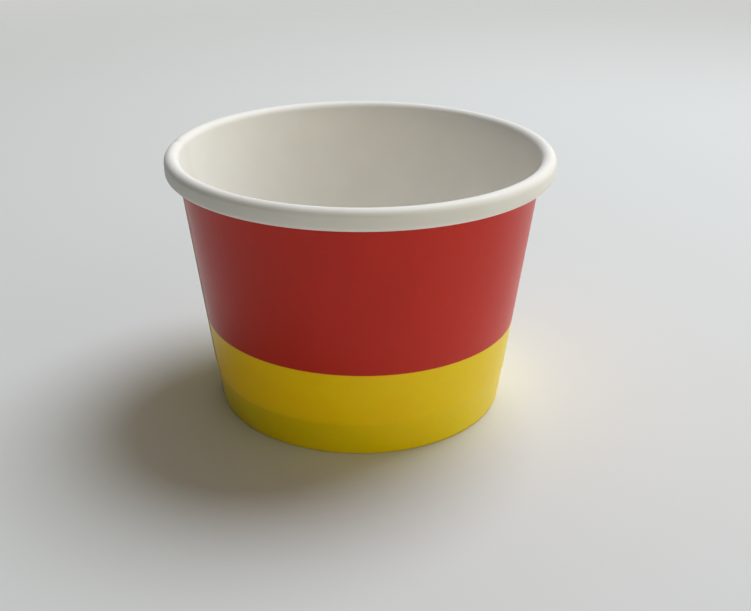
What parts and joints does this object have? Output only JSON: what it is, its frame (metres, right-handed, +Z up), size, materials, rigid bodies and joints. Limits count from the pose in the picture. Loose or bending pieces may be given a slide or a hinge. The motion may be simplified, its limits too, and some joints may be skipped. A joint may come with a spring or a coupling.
{
  "type": "paper ice cream cup",
  "caption": "Tapered paper cup for a scoop of ice cream, with a rolled white rim, a red and yellow printed wall, a lap seam and a recessed bottom disc crimped into a folded hem.",
  "frame": {"origin": "middle of the standing plane, on the cup's axis", "axes": "+Z up along the cup's axis, -Y towards the front of the cup, the lap seam on the -X side"},
  "size_m": [0.076, 0.076, 0.0521],
  "materials": {
    "printed_board": "glossy coated board, red over yellow outside, white inside and on the rolled rim",
    "white_board": "satin coated white board"
  },
  "bodies": {
    "root": {"side_wall": "printed_board", "bottom_disc": "white_board"}
  },
  "joints": []
}
